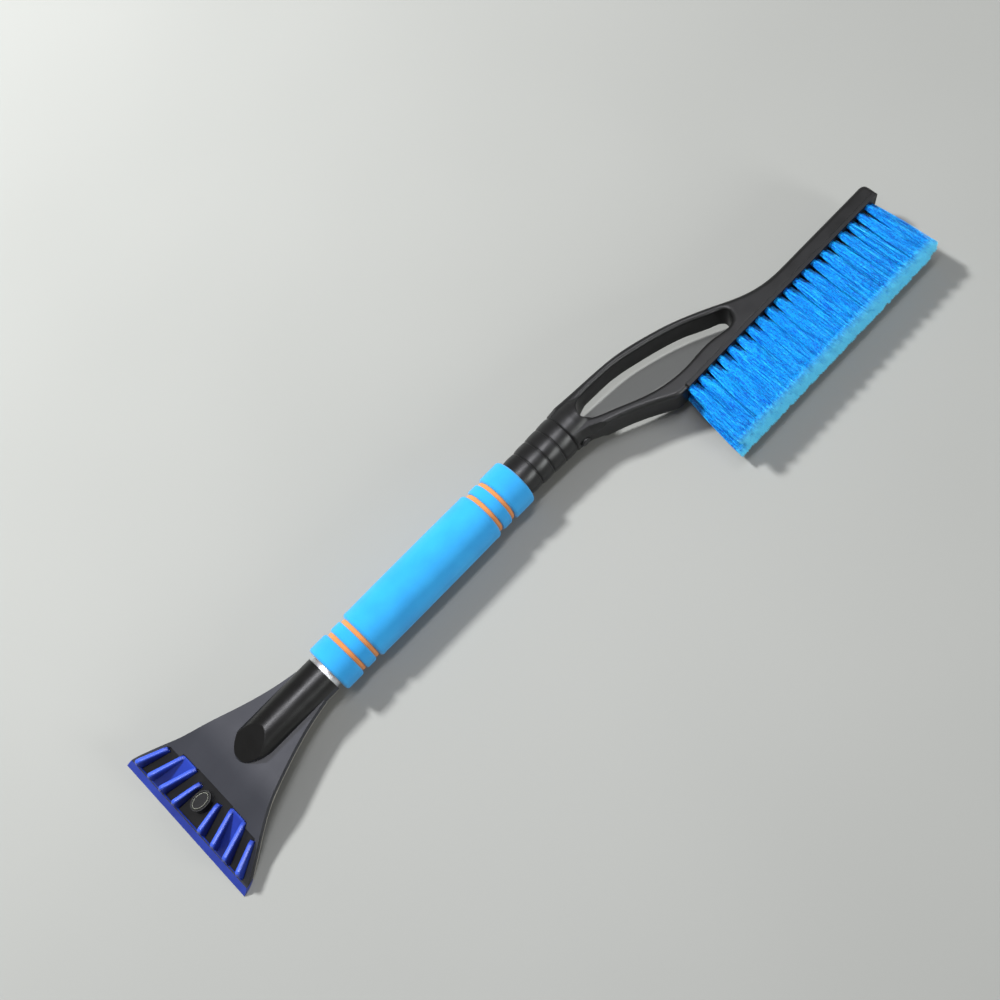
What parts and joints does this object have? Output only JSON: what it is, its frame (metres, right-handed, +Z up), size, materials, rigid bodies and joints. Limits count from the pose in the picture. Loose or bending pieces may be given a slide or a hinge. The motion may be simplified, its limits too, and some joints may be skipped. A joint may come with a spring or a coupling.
{
  "type": "windshield ice scraper",
  "caption": "Car ice scraper and snow brush: a finned blue blade, a foam-gripped tube handle and a pull-off bristle head on an open loop frame.",
  "frame": {"origin": "on the surface the tool lies on, under the middle of its bounding box", "axes": "+X along the handle from the scraper blade to the brush's far end, -Y the way the bristles point, +Z up from the surface, the side the blade fins stand on"},
  "size_m": [0.686, 0.1724, 0.04],
  "materials": {
    "black_plastic": "satin moulded ABS",
    "button_plastic": "satin moulded ABS",
    "block_plastic": "satin moulded polypropylene",
    "blade_plastic": "semi-gloss moulded polycarbonate",
    "plug_plastic": "satin moulded plastic",
    "blue_foam": "matte EVA foam",
    "orange_foam": "matte EVA foam",
    "tube_aluminium": "anodised, satin",
    "spring_steel": "rolled strip",
    "screw_steel": "zinc plated",
    "bristle_nylon": "fine filaments, paler at their tips"
  },
  "bodies": {
    "handle": {"scraper_head": "black_plastic", "scraper_blade": "blade_plastic", "blade_plug": "plug_plastic", "blade_plug_clip": "spring_steel", "scraper_neck_screw": "screw_steel", "tube_insert": "black_plastic", "handle_tube": "tube_aluminium", "grip_core": "orange_foam", "grip_collar_front": "blue_foam", "grip_ring_front": "blue_foam", "grip_main": "blue_foam", "grip_ring_rear": "blue_foam", "grip_collar_rear": "blue_foam", "neck_collar": "black_plastic", "collar_screw": "screw_steel"},
    "brush_head": {"brush_frame": "black_plastic", "button_spring": "spring_steel", "bristle_block": "block_plastic", "tuft_anchors": "spring_steel", "block_screws": "screw_steel", "bristle_row_lower": "bristle_nylon", "bristle_row_inner_lower": "bristle_nylon", "bristle_row_inner_upper": "bristle_nylon", "bristle_row_upper": "bristle_nylon"},
    "button": {"release_button": "button_plastic"}
  },
  "joints": [
    {"name": "brush_pull_off", "type": "slide", "parent": "handle", "child": "brush_head", "axis": [1, 0, 0], "range_m": [0, 0.06]},
    {"name": "button_press", "type": "slide", "parent": "brush_head", "child": "button", "axis": [0, 1, 0], "range_m": [0, 0.0025], "stiffness_N_per_m": 600, "deforming": ["button_spring"]}
  ]
}
